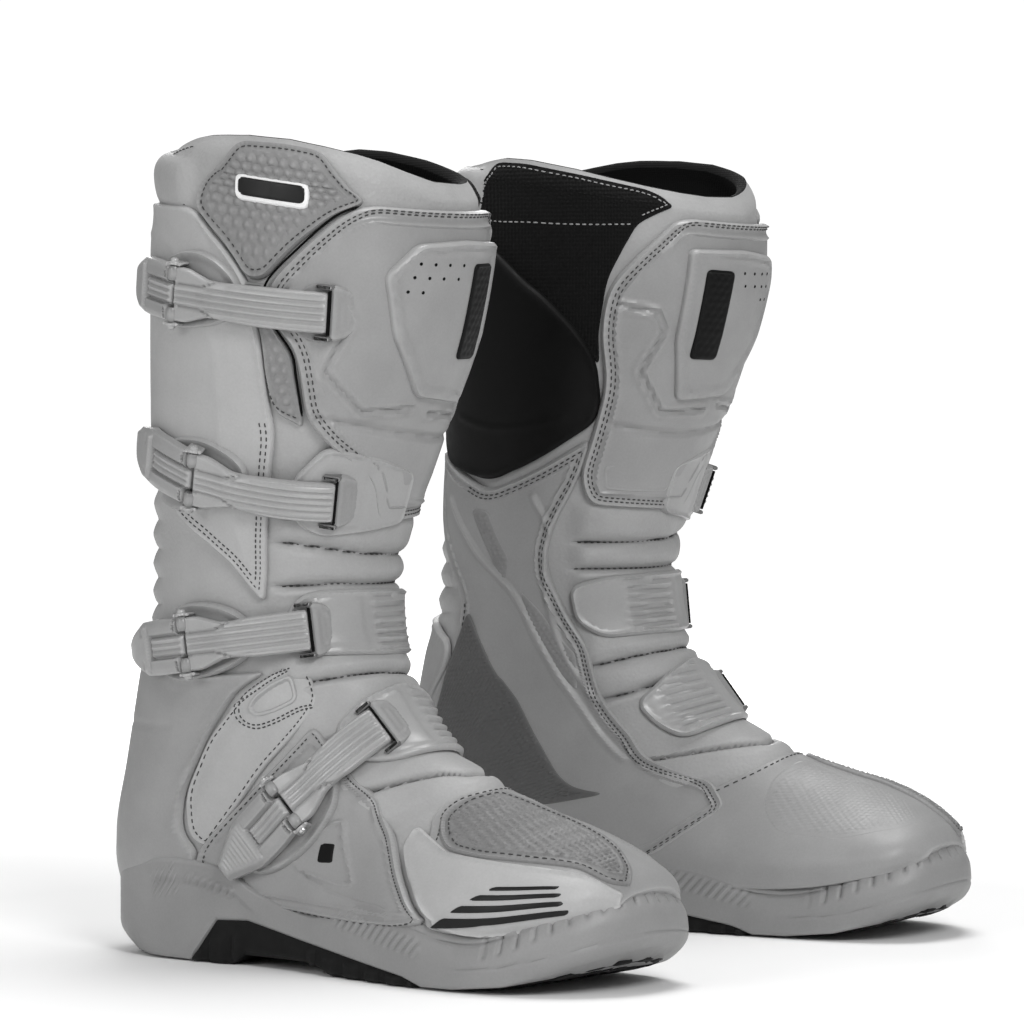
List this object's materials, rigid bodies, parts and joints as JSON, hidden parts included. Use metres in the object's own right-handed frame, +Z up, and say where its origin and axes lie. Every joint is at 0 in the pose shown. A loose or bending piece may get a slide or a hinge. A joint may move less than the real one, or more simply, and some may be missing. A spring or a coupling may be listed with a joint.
{
  "type": "motocross boots",
  "caption": "Pair of tall off-road riding boots with moulded plates, a flexing ankle and lever buckles on straps.",
  "frame": {"origin": "middle of the pair, on the floor", "axes": "+X towards the toes, +Y to the left boot, +Z up"},
  "size_m": [0.3158, 0.4016, 0.387],
  "materials": {
    "outsole_rubber": "moulded black rubber, matt",
    "shell_plastic": "grey moulded shell with fine texture",
    "upper_leather": "light grey full-grain leather, stitched",
    "light_leather": "light grey smooth leather",
    "matte_panel": "grey ridged and honeycomb moulding",
    "lining_fabric": "black padded mesh",
    "plate_plastic": "grey semi-gloss moulded plate",
    "guard_rubber": "smooth black rubber",
    "buckle_plastic": "grey glass-filled plastic",
    "strap_plastic": "grey flexible ribbed strap",
    "buckle_alloy": "grey painted cast lever"
  },
  "bodies": {
    "right_foot": {"right_outsole": "outsole_rubber", "right_sole_shell": "shell_plastic", "right_insole": "lining_fabric", "right_foot_upper": "upper_leather", "right_toe_cap": "light_leather", "right_heel_counter": "shell_plastic", "right_side_guard": "shell_plastic", "right_medial_panel": "matte_panel", "right_ankle_sleeve": "upper_leather", "right_bracket_3": "buckle_plastic", "right_bracket_4": "buckle_plastic", "right_keeper_3": "buckle_plastic", "right_keeper_4": "buckle_plastic"},
    "right_shaft": {"right_shaft_upper": "lining_fabric", "right_calf_plate": "plate_plastic", "right_shin_plate": "plate_plastic", "right_shin_badge": "matte_panel", "right_medial_guard": "guard_rubber", "right_bracket_1": "buckle_plastic", "right_bracket_2": "buckle_plastic", "right_keeper_1": "buckle_plastic", "right_keeper_2": "buckle_plastic"},
    "right_strap_1": {"right_strap_1": "strap_plastic"},
    "right_lever_1": {"right_lever_1": "buckle_alloy"},
    "right_strap_2": {"right_strap_2": "strap_plastic"},
    "right_lever_2": {"right_lever_2": "buckle_alloy"},
    "right_strap_3": {"right_strap_3": "strap_plastic"},
    "right_lever_3": {"right_lever_3": "buckle_alloy"},
    "right_strap_4": {"right_strap_4": "strap_plastic"},
    "right_lever_4": {"right_lever_4": "buckle_alloy"},
    "left_foot": {"left_outsole": "outsole_rubber", "left_sole_shell": "shell_plastic", "left_insole": "lining_fabric", "left_foot_upper": "upper_leather", "left_toe_cap": "light_leather", "left_heel_counter": "shell_plastic", "left_side_guard": "shell_plastic", "left_medial_panel": "matte_panel", "left_ankle_sleeve": "upper_leather", "left_bracket_3": "buckle_plastic", "left_bracket_4": "buckle_plastic", "left_keeper_3": "buckle_plastic", "left_keeper_4": "buckle_plastic"},
    "left_shaft": {"left_shaft_upper": "lining_fabric", "left_calf_plate": "plate_plastic", "left_shin_plate": "plate_plastic", "left_shin_badge": "matte_panel", "left_medial_guard": "guard_rubber", "left_bracket_1": "buckle_plastic", "left_bracket_2": "buckle_plastic", "left_keeper_1": "buckle_plastic", "left_keeper_2": "buckle_plastic"},
    "left_strap_1": {"left_strap_1": "strap_plastic"},
    "left_lever_1": {"left_lever_1": "buckle_alloy"},
    "left_strap_2": {"left_strap_2": "strap_plastic"},
    "left_lever_2": {"left_lever_2": "buckle_alloy"},
    "left_strap_3": {"left_strap_3": "strap_plastic"},
    "left_lever_3": {"left_lever_3": "buckle_alloy"},
    "left_strap_4": {"left_strap_4": "strap_plastic"},
    "left_lever_4": {"left_lever_4": "buckle_alloy"}
  },
  "joints": [
    {"name": "right_ankle_flex", "type": "hinge", "parent": "right_foot", "child": "right_shaft", "pos_m": [-0.06555, -0.11869, 0.11], "axis": [0.0872, 0.9962, 0], "range_deg": [-5, 15], "stiffness_Nm_per_rad": 18, "deforming": ["right_ankle_sleeve"]},
    {"name": "right_strap_1_swing", "type": "hinge", "parent": "right_shaft", "child": "right_strap_1", "pos_m": [0.00872, -0.18155, 0.30603], "axis": [0.1347, -0.0758, 0.988], "range_deg": [0, 60]},
    {"name": "right_lever_1_flip", "type": "hinge", "parent": "right_strap_1", "child": "right_lever_1", "pos_m": [-0.07385, -0.19556, 0.31621], "axis": [0.1347, -0.0758, 0.988], "range_deg": [0, 100]},
    {"name": "right_strap_2_swing", "type": "hinge", "parent": "right_shaft", "child": "right_strap_2", "pos_m": [-0.00188, -0.15895, 0.21661], "axis": [0.2574, -0.1827, 0.9489], "range_deg": [0, 60]},
    {"name": "right_lever_2_flip", "type": "hinge", "parent": "right_strap_2", "child": "right_lever_2", "pos_m": [-0.06954, -0.18775, 0.22943], "axis": [0.2574, -0.1827, 0.9489], "range_deg": [0, 100]},
    {"name": "right_strap_3_swing", "type": "hinge", "parent": "right_foot", "child": "right_strap_3", "pos_m": [-0.02059, -0.15993, 0.15948], "axis": [-0.1244, -0.0298, 0.9918], "range_deg": [0, 60]},
    {"name": "right_lever_3_flip", "type": "hinge", "parent": "right_strap_3", "child": "right_lever_3", "pos_m": [-0.08239, -0.17703, 0.15122], "axis": [-0.1244, -0.0298, 0.9918], "range_deg": [0, 100]},
    {"name": "right_strap_4_swing", "type": "hinge", "parent": "right_foot", "child": "right_strap_4", "pos_m": [0.01465, -0.15017, 0.11779], "axis": [-0.6746, -0.0528, 0.7363], "range_deg": [0, 60]},
    {"name": "right_lever_4_flip", "type": "hinge", "parent": "right_strap_4", "child": "right_lever_4", "pos_m": [-0.02694, -0.17215, 0.07811], "axis": [-0.6746, -0.0528, 0.7363], "range_deg": [0, 100]},
    {"name": "left_ankle_flex", "type": "hinge", "parent": "left_foot", "child": "left_shaft", "pos_m": [-0.06555, 0.11869, 0.11], "axis": [-0.0872, 0.9962, 0], "range_deg": [-5, 15], "stiffness_Nm_per_rad": 18, "deforming": ["left_ankle_sleeve"]},
    {"name": "left_strap_1_swing", "type": "hinge", "parent": "left_shaft", "child": "left_strap_1", "pos_m": [0.00872, 0.18155, 0.30603], "axis": [-0.1347, -0.0758, -0.988], "range_deg": [0, 60]},
    {"name": "left_lever_1_flip", "type": "hinge", "parent": "left_strap_1", "child": "left_lever_1", "pos_m": [-0.07385, 0.19556, 0.31621], "axis": [-0.1347, -0.0758, -0.988], "range_deg": [0, 100]},
    {"name": "left_strap_2_swing", "type": "hinge", "parent": "left_shaft", "child": "left_strap_2", "pos_m": [-0.00188, 0.15895, 0.21661], "axis": [-0.2574, -0.1827, -0.9489], "range_deg": [0, 60]},
    {"name": "left_lever_2_flip", "type": "hinge", "parent": "left_strap_2", "child": "left_lever_2", "pos_m": [-0.06954, 0.18775, 0.22943], "axis": [-0.2574, -0.1827, -0.9489], "range_deg": [0, 100]},
    {"name": "left_strap_3_swing", "type": "hinge", "parent": "left_foot", "child": "left_strap_3", "pos_m": [-0.02059, 0.15993, 0.15948], "axis": [0.1244, -0.0298, -0.9918], "range_deg": [0, 60]},
    {"name": "left_lever_3_flip", "type": "hinge", "parent": "left_strap_3", "child": "left_lever_3", "pos_m": [-0.08239, 0.17703, 0.15122], "axis": [0.1244, -0.0298, -0.9918], "range_deg": [0, 100]},
    {"name": "left_strap_4_swing", "type": "hinge", "parent": "left_foot", "child": "left_strap_4", "pos_m": [0.01465, 0.15017, 0.11779], "axis": [0.6746, -0.0528, -0.7363], "range_deg": [0, 60]},
    {"name": "left_lever_4_flip", "type": "hinge", "parent": "left_strap_4", "child": "left_lever_4", "pos_m": [-0.02694, 0.17215, 0.07811], "axis": [0.6746, -0.0528, -0.7363], "range_deg": [0, 100]},
    {"name": "left_boot_lift", "type": "slide", "parent": "right_foot", "child": "left_foot", "axis": [0, 0, 1], "range_m": [0, 0.45]}
  ]
}
